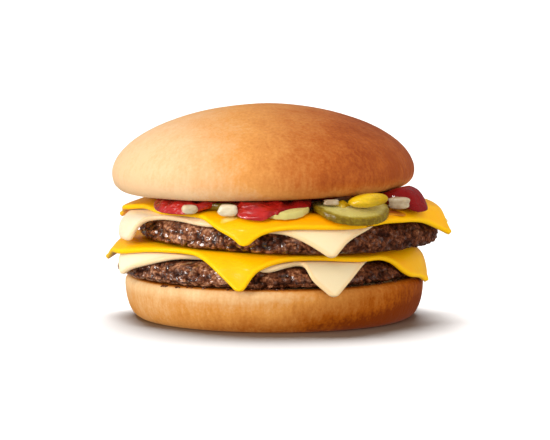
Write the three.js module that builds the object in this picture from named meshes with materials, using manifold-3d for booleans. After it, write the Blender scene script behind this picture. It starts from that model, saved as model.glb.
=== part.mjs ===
// A double cheeseburger, as a three.js scene graph of closed solids. Millimetres, +Z up.
//
// From the bottom: heel of the bun, patty, a white and a yellow slice of cheese, a second patty with its
// own two slices, pickles, onion, ketchup and mustard, and the crown of the bun. The front faces -Y and
// +X is to its right. Layers that touch keep a hair's gap, so that no two solids share any space.

import * as THREE from "three";
import { mergeVertices } from "three/addons/utils/BufferGeometryUtils.js";
import Module from "manifold-3d";

const wasm = await Module();
wasm.setup();

// ---------------------------------------------------------------- driving dimensions

const TOUCH = 0.35; // gap between layers that touch
const CLEAR = 0.3; // gap round what is sunk in the ketchup
const EASE = 0.25; // how far a sheet stands off the rim that it hangs over

const CROWN = {
  centre: [-2.1, 0],
  radius: 49.8, // at its widest
  underside: 42.7, // height of the cut face below the crown's middle
  bulge: 5.4, // from the cut face up to the widest place
  dome: 22, // from the widest place up to the top
  cutRadius: 45, // of the flat cut face
  lean: 0.9, // degrees, the right side up
  taper: 0.009, // how much thinner the rim gets for each millimetre to the right
  topSquareness: 1.88, // 2 is a round arch, and more is a squarer one
  rimSquareness: 2.1,
  outOfRound: [
    [2, 0.004, 0.5],
    [3, 0.003, 2],
  ],
};

// Every outOfRound list has [lobes round the circle, size, phase], the size as a share of the radius.
const HEEL = {
  centre: [1.3, 0],
  radius: 49.3,
  height: 14.2,
  footRadius: 43.6, // of the flat that it stands on
  widestHeight: 11.6,
  cutRadius: 46.8,
  sideSquareness: 2.1,
  outOfRound: [
    [2, 0.004, 1.9],
    [3, 0.003, 0.4],
  ],
};

// base is the height of the middle of a patty's underside. baseLean and topLean are the slopes of its two
// faces towards +X, and baseSag and topSag are how far the front of its rim dips.
const LOWER_PATTY = {
  centre: [-1, 0],
  radius: 49.2,
  base: HEEL.height + TOUCH,
  thickness: 7.2,
  baseLean: 0,
  topLean: -0.024,
  baseSag: 0,
  topSag: 0.3,
  outOfRound: [
    [2, 0.007, 0.9],
    [3, 0.005, 2.1],
  ],
  seed: 5,
};
const UPPER_PATTY = {
  centre: [6, 0],
  radius: 49.4,
  base: 25.9,
  thickness: 8.8,
  baseLean: -0.024,
  topLean: -0.006,
  baseSag: 0.3,
  topSag: 0.3,
  outOfRound: [
    [2, 0.005, 0.2],
    [3, 0.005, 1.0],
  ],
  seed: 19,
};
const SHOULDER = 6; // radius of a patty's upper edge
const UNDERCUT = 2.6; // radius of its lower edge
const CRAG_DEPTH = 1.1; // of the relief in its side
const CRAG_SIZE = 3.4;
const CRAG_SHARPNESS = 1.5;

const SLICE_SIDE = 83.4;
const SLICE_THICKNESS = 1.65;
const SLICE_CORNER = 2.8; // radius of a corner, seen from above
const SLICE_EDGE = 0.55; // how far the rounded edge stands out
const SLICE_SPREAD = [2.8, 10.5]; // how far outside a slice's edge the next one settles: from, to
const WAVE_ROOT = 16; // how far inside the edge its waves begin
const STRETCH_ROOT = 26; // how far from a corner its stretches begin
const STEEPEST = 92; // no sheet hangs further round than this many degrees
// Half of the lines across a slice: they are close where its corners bend.
const SLICE_LINES = [0, 0.2, 0.37, 0.53, 0.66, 0.77, 0.86, 0.935, 1];

// turn is the direction of a slice's first corner, in degrees, and the others follow anticlockwise:
// front, right, back and left. Each corner bends over the rim by at most limit degrees, goes straight on
// for stand millimetres and then bends by curl degrees for each further one. The edges have run in the
// heat: each wave is [side, place along it, width, how far out], and side 0 runs from the first corner to
// the second. Each stretch is [side, end, how far out], and end is -1 where the side starts and 1 where
// it ends.
const LOWER_WHITE = {
  turn: -68,
  shift: [2.2, 0.6],
  corners: [
    { limit: 66, stand: 0, curl: 0 },
    { limit: 60, stand: 0, curl: 1 },
    { limit: 80, stand: 0, curl: 0 },
    { limit: 84, stand: 0, curl: 0 },
  ],
  waves: [
    [0, -8, 14, -2],
    [1, 0, 20, 2],
    [2, 5, 16, 2],
    [3, -27, 14, 4.4],
    [3, -16, 8, 1],
    [3, 16, 8, 5.6],
    [3, 25.5, 4.5, -5.5],
  ],
  stretches: [],
};
const LOWER_YELLOW = {
  turn: -101.5,
  shift: [1.5, 0.5],
  corners: [
    { limit: 65, stand: 0, curl: 0 },
    { limit: 57, stand: 0, curl: 0 },
    { limit: 70, stand: 0, curl: 0 },
    { limit: 37, stand: 0, curl: 0 },
  ],
  waves: [
    [0, 2, 17, 6.8],
    [0, 28, 9, 4.8],
    [1, 0, 18, 3],
    [1, -30, 8, 5],
    [2, 4, 18, 2],
    [3, -2, 16, 7.6],
    [3, -19, 13, 7],
    [3, -31, 7, 2.5],
  ],
  stretches: [
    [0, -1, -0.6],
    [0, 1, -1],
    [1, -1, -1],
    [3, -1, 0.3],
    [3, 1, -0.8],
  ],
};
const UPPER_WHITE = {
  turn: -77.5,
  shift: [-1.6, -0.9],
  corners: [
    { limit: 55, stand: 0, curl: 0 },
    { limit: 36, stand: 0, curl: 0.5 },
    { limit: 68, stand: 0, curl: 0 },
    { limit: 12, stand: 5.5, curl: 8.5 },
  ],
  waves: [
    [0, 2, 20, 1.5],
    [0, -19, 10, 3.2],
    [1, 0, 20, 1],
    [2, -3, 18, 2.5],
    [3, -37, 6, 7],
    [3, -31, 6, 6],
    [3, 0, 15, 5.5],
    [3, 19, 8, 2],
  ],
  stretches: [
    [0, -1, 3],
    [2, 1, 0.6],
    [3, -1, 1],
    [3, 1, -2.4],
  ],
};
const UPPER_YELLOW = {
  turn: -104,
  shift: [-0.6, 1.2],
  corners: [
    { limit: 65, stand: 0, curl: 0 },
    { limit: 42, stand: 0, curl: 0 },
    { limit: 60, stand: 0, curl: 0 },
    { limit: 12, stand: 4, curl: 2 },
  ],
  waves: [
    [0, -3, 27, 11.3],
    [1, 4, 20, 2],
    [2, 0, 18, 3],
    [3, 1, 19, 7.3],
    [3, -26, 10, 6],
    [3, 30, 8, 2.8],
  ],
  stretches: [[0, -1, -1.3]],
};

// The toppings lie on the upper yellow slice and bend over the rim with it. Their places are given from
// the middle of the patty, and lifts from its top.
const STACK = 2 * (SLICE_THICKNESS + TOUCH);
const PICKLE_THICKNESS = 2.1;
const PICKLE_GAP = 0.4; // between a pickle slice and the cheese
const PICKLE_LIMIT = 24; // how far a pickle slice bends, in degrees
const PICKLE_LOBES = 0.025; // how far a slice is from round, as a share of its radius
const PICKLES = {
  pickle_left: { at: [-20, -29.8], radius: 9.5 },
  pickle_centre: { at: [-1.6, -41.8], radius: 8.4 },
  pickle_right: { at: [19.7, -37.8], radius: 12.5 },
  pickle_back: { at: [-10, 35], radius: 12 },
};

const ONION_ROUNDING = 0.13; // how much closer in the corners of chopped onion are
const ONION_UNEVENNESS = 0.18; // how far they stray, as a share of its size
// Each piece's place, how high its middle is above the patty, its size, and its turn in degrees.
const ONIONS = {
  onion_front_left: { at: [-32, -39.4], lift: 6.5, size: [5, 3.2, 2.8], turn: 14 },
  onion_front: { at: [-19.4, -45.6], lift: 6.6, size: [6.2, 4.2, 3.7], turn: -12 },
  onion_on_pickle: { at: [13.6, -43.2], lift: 7.8, size: [4.8, 3, 2], turn: 8 },
  onion_right: { at: [35.8, -32], lift: 7, size: [6.8, 4, 3.7], turn: -28 },
  onion_back_left: { at: [-33, 34], lift: 5.9, size: [5.2, 3.8, 2.6], turn: 40 },
  onion_back: { at: [12, 43], lift: 6.2, size: [5.8, 4, 3], turn: -20 },
  onion_left: { at: [-45, 6], lift: 5.5, size: [4.6, 3.4, 2.4], turn: 75 },
};

// The ketchup: a pool under the crown with lobes that run out to the rim and over it. Angles are in
// degrees, limit is how far a lobe bends over the patty's rim and rise how far it swells up outside the
// crown's.
const KETCHUP = {
  poolRadius: 32,
  poolDepth: 1.5,
  thinnest: 0.6,
  gap: 0.65, // between the ketchup and the cheese below it
  rimGap: 0.25, // between the ketchup and the crown's rim above it
  settles: [26, 36], // how far from the middle the lobes come down on to the cheese: from, to
  swells: [39.5, 44.5], // how far from the middle they rise: from, to
  endsFrom: 0.84, // share of its reach from which a lobe gets thinner
  endThickness: 2.8,
  lobes: [
    { angle: -140, width: 21, reach: 52, limit: 50, rise: 0 },
    { angle: -103, width: 12, reach: 51.8, limit: 40, rise: 0 },
    { angle: -86, width: 7.5, reach: 46.5, limit: 28, rise: 0 },
    { angle: -31.5, width: 11, reach: 52, limit: 28, rise: 1.7 },
    { angle: 42, width: 12, reach: 47, limit: 28, rise: 0.5 },
    { angle: 118, width: 14, reach: 48.5, limit: 28, rise: 0 },
    { angle: 176, width: 10, reach: 44, limit: 12, rise: 0 },
  ],
};
const MUSTARD = {
  at: [25.8, -41.8],
  lift: 9.25,
  size: [13.2, 8.4, 4.6],
  turn: 10,
  roll: -6,
  outOfRound: [
    [1, 0.1, 2.6],
    [3, 0.05, 0],
  ],
};

const COLOURS = {
  crust: 0xd9924a,
  patty: 0x4a2c22,
  white_cheese: 0xf2e2b8,
  yellow_cheese: 0xfcb813,
  pickle: 0xa3ac3f,
  onion: 0xeeeede,
  ketchup: 0xb01722,
  mustard: 0xe8bd0c,
};

// ---------------------------------------------------------------- helpers

const radians = THREE.MathUtils.degToRad;
const lerp = THREE.MathUtils.lerp;
const sum = (list) => list.reduce((total, x) => total + x, 0);

// 0 up to `from`, 1 from `to` on, and smooth between them.
const ease = (from, to, x) => THREE.MathUtils.smoothstep(x, from, to);

// The angle from b to a, between -PI and PI.
const turnBetween = (a, b) => Math.atan2(Math.sin(a - b), Math.cos(a - b));

// The radius of an uneven round, as a share of its mean radius.
const unevenRadius = (outOfRound, angle) =>
  1 + sum(outOfRound.map(([lobes, size, phase]) => size * Math.cos(lobes * angle + phase)));

// A repeatable random number for each corner of a lattice, from 0 to 1.
function latticeValue(i, j, k, seed) {
  const n = Math.sin(i * 127.1 + j * 311.7 + k * 74.7 + seed * 19.19) * 43758.5453;
  return n - Math.floor(n);
}

// Smooth noise from 0 to 1 with features about one unit across.
function noise(x, y, z, seed) {
  const [i, j, k] = [Math.floor(x), Math.floor(y), Math.floor(z)];
  const [u, v, w] = [ease(0, 1, x - i), ease(0, 1, y - j), ease(0, 1, z - k)];
  const along = (dj, dk) =>
    lerp(latticeValue(i, j + dj, k + dk, seed), latticeValue(i + 1, j + dj, k + dk, seed), u);
  return lerp(lerp(along(0, 0), along(1, 0), v), lerp(along(0, 1), along(1, 1), v), w);
}

function geometryOf(points, faces) {
  const positions = new Float32Array(points.flatMap((p) => [p.x, p.y, p.z]));
  return new THREE.BufferGeometry()
    .setAttribute("position", new THREE.BufferAttribute(positions, 3))
    .setIndex(faces.flat());
}

// A closed solid of rings. profile runs from the top pole to the bottom one as [radius, height], both
// with radius 0, and place(radius, height, angle) says where each of its points goes.
function ringSolid(profile, segments, place) {
  const points = [];
  const rings = profile.map(([radius, height]) => {
    const first = points.length;
    const count = radius === 0 ? 1 : segments;
    for (let j = 0; j < count; j++)
      points.push(place(radius, height, (j / segments) * 2 * Math.PI));
    return (j) => first + (count === 1 ? 0 : j % segments);
  });
  const faces = [];
  for (let i = 0; i + 1 < rings.length; i++)
    for (let j = 0; j < segments; j++) {
      const [upper, lower] = [rings[i], rings[i + 1]];
      if (i + 2 < rings.length || lower(0) !== lower(1)) faces.push([upper(j), lower(j), lower(j + 1)]);
      if (upper(0) !== upper(1)) faces.push([upper(j), lower(j + 1), upper(j + 1)]);
    }
  return geometryOf(points, faces);
}

// A thin closed solid whose middle surface is middle(a, b) over a square grid of lines. The rim stands
// out from both faces, so that the edge is round.
function sheetSolid(lines, rimLines, thickness, middle) {
  const n = lines.length;
  const step = 0.05;
  const normalAt = (a, b) => {
    const alongA = middle(a + step, b).sub(middle(a - step, b));
    const alongB = middle(a, b + step).sub(middle(a, b - step));
    return alongA.cross(alongB).normalize();
  };
  const points = [];
  for (const side of [0.5, -0.5])
    for (let i = 0; i < n; i++)
      for (let j = 0; j < n; j++)
        points.push(
          middle(lines[i], lines[j]).addScaledVector(normalAt(lines[i], lines[j]), side * thickness),
        );
  const top = (i, j) => i * n + j;
  const bottom = (i, j) => n * n + top(i, j);

  const faces = [];
  for (let i = 0; i + 1 < n; i++)
    for (let j = 0; j + 1 < n; j++) {
      // The corners bend across the slice's diagonals, so each cell is split along the bend.
      const acrossBend = (lines[i] + lines[i + 1]) * (lines[j] + lines[j + 1]) > 0;
      const halves = acrossBend
        ? [[[i, j], [i + 1, j], [i, j + 1]], [[i + 1, j], [i + 1, j + 1], [i, j + 1]]]
        : [[[i, j], [i + 1, j], [i + 1, j + 1]], [[i, j], [i + 1, j + 1], [i, j + 1]]];
      for (const half of halves) {
        faces.push(half.map(([p, q]) => top(p, q)));
        faces.push(half.map(([p, q]) => bottom(p, q)).reverse());
      }
    }

  const last = n - 1;
  const loop = [];
  for (let i = 0; i < last; i++) loop.push([i, 0]);
  for (let j = 0; j < last; j++) loop.push([last, j]);
  for (let i = last; i > 0; i--) loop.push([i, last]);
  for (let j = last; j > 0; j--) loop.push([0, j]);
  const rim = points.length;
  for (const [i, j] of loop) points.push(middle(rimLines[i], rimLines[j]));
  loop.forEach(([i, j], k) => {
    const next = (k + 1) % loop.length;
    const [p, q] = loop[next];
    faces.push([top(i, j), rim + k, rim + next], [top(i, j), rim + next, top(p, q)]);
    faces.push([rim + k, bottom(i, j), bottom(p, q)], [rim + k, bottom(p, q), rim + next]);
  });
  return geometryOf(points, faces);
}

function meshOf(name, geometry, colour, roughness) {
  geometry.computeVertexNormals();
  const material = new THREE.MeshStandardMaterial({ color: colour, roughness, metalness: 0 });
  const mesh = new THREE.Mesh(geometry, material);
  mesh.name = name;
  return mesh;
}

// A mesh's shape where it stands, as a manifold-3d solid.
function manifoldOf(mesh) {
  mesh.updateMatrixWorld(true);
  const bare = mesh.geometry.clone().applyMatrix4(mesh.matrixWorld);
  bare.deleteAttribute("normal");
  bare.deleteAttribute("uv");
  const merged = mergeVertices(bare, 1e-3);
  return new wasm.Manifold(
    new wasm.Mesh({
      numProp: 3,
      vertProperties: merged.attributes.position.array,
      triVerts: new Uint32Array(merged.index.array),
    }),
  );
}

function geometryFromManifold(solid) {
  const { vertProperties, triVerts } = solid.getMesh();
  return new THREE.BufferGeometry()
    .setAttribute("position", new THREE.BufferAttribute(new Float32Array(vertProperties), 3))
    .setIndex(new THREE.BufferAttribute(new Uint32Array(triVerts), 1));
}

// ---------------------------------------------------------------- bun

// A quarter of an ellipse, or of a squarer arch: t runs from 0, straight out, to 1, straight up.
const quarter = (t, squareness = 2) => {
  const angle = (t * Math.PI) / 2;
  return [Math.cos(angle) ** (2 / squareness), Math.sin(angle) ** (2 / squareness)];
};

function bunCrown() {
  const { radius, bulge, dome, cutRadius, underside, centre, lean, taper, outOfRound } = CROWN;
  const profile = [[0, bulge + dome]];
  for (const t of [0.93, 0.85, 0.75, 0.63, 0.5, 0.37, 0.24, 0.12, 0]) {
    const [out, up] = quarter(t, CROWN.topSquareness);
    profile.push([radius * out, bulge + dome * up]);
  }
  for (const t of [0.35, 0.7, 1]) {
    const [out, down] = quarter(t, CROWN.rimSquareness);
    profile.push([lerp(cutRadius, radius, out), bulge * (1 - down)]);
  }
  profile.push([cutRadius * 0.6, 0], [0, 0]);
  const place = (r, z, angle) => {
    const reach = r * unevenRadius(outOfRound, angle);
    const [x, y] = [reach * Math.cos(angle), reach * Math.sin(angle)];
    return new THREE.Vector3(x, y, z + taper * x * Math.max(0, 1 - z / bulge));
  };
  const mesh = meshOf("bun_crown", ringSolid(profile, 56, place), COLOURS.crust, 0.5);
  mesh.position.set(...centre, underside);
  mesh.rotation.y = -radians(lean);
  return mesh;
}

function bunHeel() {
  const { radius, height, footRadius, widestHeight, cutRadius, centre, outOfRound } = HEEL;
  const profile = [[0, height], [cutRadius * 0.6, height]];
  for (const t of [1, 0.6, 0]) {
    const [out, up] = quarter(t);
    profile.push([lerp(cutRadius, radius, out), lerp(widestHeight, height, up)]);
  }
  for (const t of [0.18, 0.36, 0.54, 0.72, 0.87, 1]) {
    const [out, down] = quarter(t, HEEL.sideSquareness);
    profile.push([lerp(footRadius, radius, out), widestHeight * (1 - down)]);
  }
  profile.push([0, 0]);
  const place = (r, z, angle) => {
    const reach = r * unevenRadius(outOfRound, angle);
    return new THREE.Vector3(centre[0] + reach * Math.cos(angle), centre[1] + reach * Math.sin(angle), z);
  };
  return meshOf("bun_heel", ringSolid(profile, 56, place), COLOURS.crust, 0.55);
}

// ---------------------------------------------------------------- patties

const radiusAt = (patty, angle) => patty.radius * unevenRadius(patty.outOfRound, angle);

// How much a patty's underside, at level 0, or its top, at level 1, stands out of a level plane.
function undulation(patty, x, y, level) {
  const lean = lerp(patty.baseLean, patty.topLean, level);
  const sag = lerp(patty.baseSag, patty.topSag, level);
  const reach = Math.hypot(x, y) / patty.radius;
  return lean * x + sag * (y / patty.radius) * ease(0.4, 1, reach);
}

function pattyMesh(name, patty) {
  const { base, thickness, seed } = patty;
  const profile = [[0, thickness], [0.5, thickness], [0.86, thickness]];
  for (const t of [0.5, 0.2, 0]) {
    const [out, up] = quarter(t);
    profile.push([1 - (SHOULDER * (1 - out)) / patty.radius, thickness - SHOULDER * (1 - up)]);
  }
  for (const t of [0.4, 1]) {
    const [out, down] = quarter(t);
    profile.push([1 - (UNDERCUT * (1 - out)) / patty.radius, UNDERCUT * (1 - down)]);
  }
  profile.push([0.5, 0], [0, 0]);
  const place = (share, height, angle) => {
    const reach = share * radiusAt(patty, angle);
    const [x, y] = [reach * Math.cos(angle), reach * Math.sin(angle)];
    const crag = noise(x / CRAG_SIZE, y / CRAG_SIZE, height / CRAG_SIZE, seed) ** CRAG_SHARPNESS;
    const side = ease(0.9, 0.97, share);
    const inwards = 1 - (CRAG_DEPTH * crag * side) / patty.radius;
    return new THREE.Vector3(
      patty.centre[0] + x * inwards,
      patty.centre[1] + y * inwards,
      base + height + undulation(patty, x, y, height / thickness),
    );
  };
  return meshOf(name, ringSolid(profile, 84, place), COLOURS.patty, 0.55);
}

// ---------------------------------------------------------------- slices of cheese

// How far the edge has run out on one side of a slice, at a place along that side.
function waveAt(slice, side, along) {
  const half = SLICE_SIDE / 2;
  const waves = slice.waves
    .filter(([on]) => on === side)
    .map(([, at, width, out]) => out * Math.exp(-(((along - at) / width) ** 2)));
  const stretches = slice.stretches
    .filter(([on]) => on === side)
    .map(([, end, out]) => out * ease(half - STRETCH_ROOT, half, end * along));
  const awayFromCorners = 1 - (Math.abs(along) / half) ** 4;
  return sum(waves) * awayFromCorners + sum(stretches);
}

// A slice on a patty, with the slices that lie between the two. Its own coordinates a and b run along
// its sides: its first corner has the largest a and the smallest b, and side 0 has the largest a.
function sliceOn(patty, slice, below = []) {
  const turn = radians(slice.turn + 45);
  const half = SLICE_SIDE / 2;
  const [cos, sin] = [Math.cos(turn), Math.sin(turn)];
  const fromPatty = (a, b) => [
    slice.shift[0] + a * cos - b * sin,
    slice.shift[1] + a * sin + b * cos,
  ];
  const corners = [[half, -half], [half, half], [-half, half], [-half, -half]].map(([a, b], k) => {
    const [x, y] = fromPatty(a, b);
    return { angle: Math.atan2(y, x), ...slice.corners[k] };
  });
  // How far a place is outside the flat slice: negative inside it.
  const outside = (x, y) => {
    const [dx, dy] = [x - slice.shift[0], y - slice.shift[1]];
    const a = dx * cos + dy * sin;
    const b = dy * cos - dx * sin;
    const edges = [
      a - waveAt(slice, 0, b),
      b - waveAt(slice, 1, -a),
      -a - waveAt(slice, 2, -b),
      -b - waveAt(slice, 3, a),
    ];
    return Math.max(...edges) - half;
  };
  return { ...slice, patty, below, half, fromPatty, corners, outside };
}

// The height above the patty that slices take up at a place: each settles past the edge of the last.
const stackHeight = (slices, x, y) =>
  sum(
    slices.map(
      (s) => (SLICE_THICKNESS + TOUCH) * (1 - ease(...SLICE_SPREAD, s.outside(x, y))),
    ),
  );

// Lays a place on a flat sheet, x and y from the patty's middle, over the patty and down its side.
// lift is the sheet's height above the patty, and hang says how it goes on past the rim.
function drape(patty, x, y, lift, { limit, stand = 0, curl = 0, corner }) {
  const angle = Math.atan2(y, x);
  const flatReach = Math.hypot(x, y);
  const start = radiusAt(patty, angle) + EASE - SHOULDER;
  const past = Math.max(0, flatReach - start);
  const bend = SHOULDER + lift;
  const slope = Math.min(past / bend, radians(limit));
  const beyond = past - bend * slope;
  const straight = curl === 0 ? beyond : Math.min(beyond, stand);
  const curve = 1 / Math.max(radians(curl), 1e-6);
  const end = Math.min(slope + (beyond - straight) / curve, radians(STEEPEST));
  const rest = beyond - straight - (end - slope) * curve;
  const reach =
    Math.min(flatReach, start) +
    bend * Math.sin(slope) +
    straight * Math.cos(slope) +
    curve * (Math.sin(end) - Math.sin(slope)) +
    rest * Math.cos(end);
  const drop =
    bend * (1 - Math.cos(slope)) +
    straight * Math.sin(slope) +
    curve * (Math.cos(slope) - Math.cos(end)) +
    rest * Math.sin(end);

  // A hanging corner keeps its width: it wraps round the patty instead of shrinking towards its tip.
  const offCorner = corner === undefined ? 0 : turnBetween(angle, corner);
  const wrap = (flatReach / Math.max(reach, 1) - 1) * Math.sin(offCorner) * ease(0, 1, past);
  const [px, py] = [reach * Math.cos(angle + wrap), reach * Math.sin(angle + wrap)];
  return new THREE.Vector3(
    patty.centre[0] + px,
    patty.centre[1] + py,
    patty.base + patty.thickness + undulation(patty, px, py, 1) + lift - drop,
  );
}

// How a slice hangs in one direction: as its corners do, and between two of them something of both.
function hangAt(corners, angle) {
  const [first, second] = corners
    .map((corner) => ({ ...corner, off: Math.abs(turnBetween(angle, corner.angle)) }))
    .sort((p, q) => p.off - q.off);
  const share = ease(0.3, 0.7, first.off / (first.off + second.off));
  return {
    corner: first.angle,
    limit: lerp(first.limit, second.limit, share),
    stand: lerp(first.stand, second.stand, share),
    curl: lerp(first.curl, second.curl, share),
  };
}

function sliceMesh(name, slice, colour) {
  const { half, corners, patty, below, fromPatty } = slice;
  const flat = half - SLICE_CORNER;
  const rounded = (own, other) => {
    const [u, v] = [own, other].map((x) => Math.max(0, Math.abs(x) - flat) / SLICE_CORNER);
    return u === 0 ? own : Math.sign(own) * (flat + SLICE_CORNER * u * Math.sqrt(1 - v ** 2 / 2));
  };
  const run = (own, side, along) => ease(half - WAVE_ROOT, half, own) * waveAt(slice, side, along);
  const middle = (flatA, flatB) => {
    const [a, b] = [rounded(flatA, flatB), rounded(flatB, flatA)];
    const [x, y] = fromPatty(
      a + run(a, 0, b) - run(-a, 2, -b),
      b + run(b, 1, -a) - run(-b, 3, a),
    );
    const lift = TOUCH + stackHeight(below, x, y) + SLICE_THICKNESS / 2;
    return drape(patty, x, y, lift, hangAt(corners, Math.atan2(y, x)));
  };
  const linesTo = (edge) => [
    ...SLICE_LINES.slice(1).reverse().map((share) => -share * edge),
    ...SLICE_LINES.map((share) => share * edge),
  ];
  const geometry = sheetSolid(linesTo(half - SLICE_EDGE), linesTo(half), SLICE_THICKNESS, middle);
  return meshOf(name, geometry, colour, 0.4);
}

// ---------------------------------------------------------------- toppings

// The place of something on the upper patty's cheese, bent over the rim with it.
const onCheese = (x, y, lift, hang) => drape(UPPER_PATTY, x, y, lift, hang);

// In all of these, grow makes the same piece larger all round, to cut its place out of the ketchup.
function pickleMesh(name, pickle, grow = 0) {
  const radius = pickle.radius + grow;
  const half = PICKLE_THICKNESS / 2 + grow;
  const profile = [[0, half], [0.55, half], [0.93, half], [1, 0], [0.93, -half], [0.55, -half], [0, -half]];
  const place = (share, level, angle) => {
    const reach = share * radius * unevenRadius([[3, PICKLE_LOBES, radius]], angle);
    const x = pickle.at[0] + reach * Math.cos(angle);
    const y = pickle.at[1] + reach * Math.sin(angle);
    return onCheese(x, y, STACK + PICKLE_GAP + PICKLE_THICKNESS / 2 + level, { limit: PICKLE_LIMIT });
  };
  return meshOf(name, ringSolid(profile, 20, place), COLOURS.pickle, 0.35);
}

// A chopped piece: a small box with rounded, uneven corners.
function onionMesh(name, onion, grow = 0) {
  const geometry = mergeVertices(
    new THREE.BoxGeometry(1, 1, 1, 2, 2, 1).deleteAttribute("normal").deleteAttribute("uv"),
  );
  const corners = geometry.attributes.position;
  for (let i = 0; i < corners.count; i++) {
    const p = new THREE.Vector3().fromBufferAttribute(corners, i);
    const round = 1 - ONION_ROUNDING * (p.length() / Math.sqrt(0.75)) ** 4;
    const uneven = (axis) => ONION_UNEVENNESS * (latticeValue(i, axis, onion.turn, 3) - 0.5);
    corners.setXYZ(
      i,
      (p.x * round + uneven(0)) * (onion.size[0] + 2 * grow),
      (p.y * round + uneven(1)) * (onion.size[1] + 2 * grow),
      (p.z * round + uneven(2)) * (onion.size[2] + 2 * grow),
    );
  }
  const mesh = meshOf(name, geometry, COLOURS.onion, 0.3);
  mesh.position.copy(onCheese(...onion.at, onion.lift, { limit: PICKLE_LIMIT }));
  mesh.rotation.z = radians(onion.turn);
  return mesh;
}

function mustardMesh(name, grow = 0) {
  const { at, lift, size, turn, roll, outOfRound } = MUSTARD;
  const profile = [1, 0.75, 0.5, 0.25, 0, -0.3, -0.65, -1].map((t) => {
    const up = Math.sin((t * Math.PI) / 2);
    return [Math.abs(t) === 1 ? 0 : Math.sqrt(1 - up * up), up];
  });
  const place = (r, z, angle) => {
    const lump = unevenRadius(outOfRound, angle);
    return new THREE.Vector3(
      r * lump * Math.cos(angle) * (size[0] / 2 + grow),
      r * lump * Math.sin(angle) * (size[1] / 2 + grow),
      z * (size[2] / 2 + grow),
    );
  };
  const mesh = meshOf(name, ringSolid(profile, 16, place), COLOURS.mustard, 0.2);
  mesh.position.copy(onCheese(...at, lift, { limit: PICKLE_LIMIT }));
  mesh.rotation.set(0, radians(roll), radians(turn));
  return mesh;
}

// The ketchup fills what is left between the crown and the toppings: its top follows the crown's cut
// face, and its lobes run down on to the slices and round what lies in them. sunk is all that it makes
// room for.
function ketchupMesh(name, slice, sunk) {
  const lobesAt = (angle) =>
    KETCHUP.lobes.map((lobe) => {
      const off = turnBetween(angle, radians(lobe.angle)) / radians(lobe.width);
      return { ...lobe, share: Math.exp(-(off ** 4)) };
    });
  const crownSlope = Math.tan(radians(CROWN.lean)) + CROWN.taper;
  const upper = [[0, 1], [0.7, 1], [0.79, 1], [0.86, 1], [0.95, 0.88], [0.99, 0.7], [1, 0.4]];
  const lower = [[0.98, 0.1], [0.93, 0], [0.8, 0], [0.55, 0], [0, 0]];
  const place = (share, level, angle) => {
    const lobes = lobesAt(angle);
    const overlap = Math.max(1, sum(lobes.map((lobe) => lobe.share)));
    const each = (value) => sum(lobes.map((lobe) => lobe.share * value(lobe))) / overlap;
    const reach = share * (KETCHUP.poolRadius + each((lobe) => lobe.reach - KETCHUP.poolRadius));
    const [x, y] = [reach * Math.cos(angle), reach * Math.sin(angle)];
    const run = Math.max(...lobes.map((lobe) => lobe.share)) * ease(...KETCHUP.settles, reach);
    const limit = Math.min(each((lobe) => lobe.limit), hangAt(slice.corners, angle).limit);
    const floor = onCheese(x, y, STACK + KETCHUP.gap, { limit });
    const cutFace = CROWN.underside + crownSlope * (UPPER_PATTY.centre[0] + x - CROWN.centre[0]) - TOUCH;
    const swell = each((lobe) => lobe.rise) * ease(...KETCHUP.swells, reach);
    const bottom = lerp(cutFace - KETCHUP.poolDepth, floor.z, run);
    const full = Math.max(cutFace + swell, bottom + KETCHUP.thinnest);
    const thinned = Math.min(full, bottom + KETCHUP.endThickness);
    const end = Math.max(0, share - KETCHUP.endsFrom) / (1 - KETCHUP.endsFrom);
    const top = lerp(full, thinned, end ** 2);
    return new THREE.Vector3(floor.x, floor.y, lerp(bottom, top, level));
  };
  const pool = meshOf(name, ringSolid([...upper, ...lower], 60, place), COLOURS.ketchup, 0.2);
  const cut = sunk.reduce((solid, piece) => solid.subtract(manifoldOf(piece)), manifoldOf(pool));
  const largest = cut.decompose().reduce((a, b) => (a.volume() > b.volume() ? a : b));
  return meshOf(name, geometryFromManifold(largest), COLOURS.ketchup, 0.2);
}

// ---------------------------------------------------------------- the burger

const burger = new THREE.Group();
burger.name = "double_cheeseburger";

const lowerWhite = sliceOn(LOWER_PATTY, LOWER_WHITE);
const lowerYellow = sliceOn(LOWER_PATTY, LOWER_YELLOW, [lowerWhite]);
const upperWhite = sliceOn(UPPER_PATTY, UPPER_WHITE);
const upperYellow = sliceOn(UPPER_PATTY, UPPER_YELLOW, [upperWhite]);

burger.add(
  bunHeel(),
  pattyMesh("patty_lower", LOWER_PATTY),
  sliceMesh("cheese_lower_white", lowerWhite, COLOURS.white_cheese),
  sliceMesh("cheese_lower_yellow", lowerYellow, COLOURS.yellow_cheese),
  pattyMesh("patty_upper", UPPER_PATTY),
  sliceMesh("cheese_upper_white", upperWhite, COLOURS.white_cheese),
  sliceMesh("cheese_upper_yellow", upperYellow, COLOURS.yellow_cheese),
  bunCrown(),
);

const crownRoom = bunCrown();
crownRoom.position.z -= KETCHUP.rimGap;
const sunk = [crownRoom, mustardMesh("mustard", CLEAR)];
burger.add(mustardMesh("mustard"));
for (const [name, pickle] of Object.entries(PICKLES)) {
  burger.add(pickleMesh(name, pickle));
  sunk.push(pickleMesh(name, pickle, CLEAR));
}
for (const [name, onion] of Object.entries(ONIONS)) {
  burger.add(onionMesh(name, onion));
  sunk.push(onionMesh(name, onion, CLEAR));
}
burger.add(ketchupMesh("ketchup", upperYellow, sunk));

// The origin is under the middle of the whole, on the surface that it stands on.
const box = new THREE.Box3().setFromObject(burger);
const middle = box.getCenter(new THREE.Vector3());
burger.position.set(-middle.x, -middle.y, -box.min.z);

export default burger;
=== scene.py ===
"""The looks of the double cheeseburger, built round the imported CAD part. Blender 4.5.

Shapes are worked out in millimetres in the CAD source's own coordinates, and meshes are in metres in the
row frame. The front faces -Y and +X is to its right.
"""

import math

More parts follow.
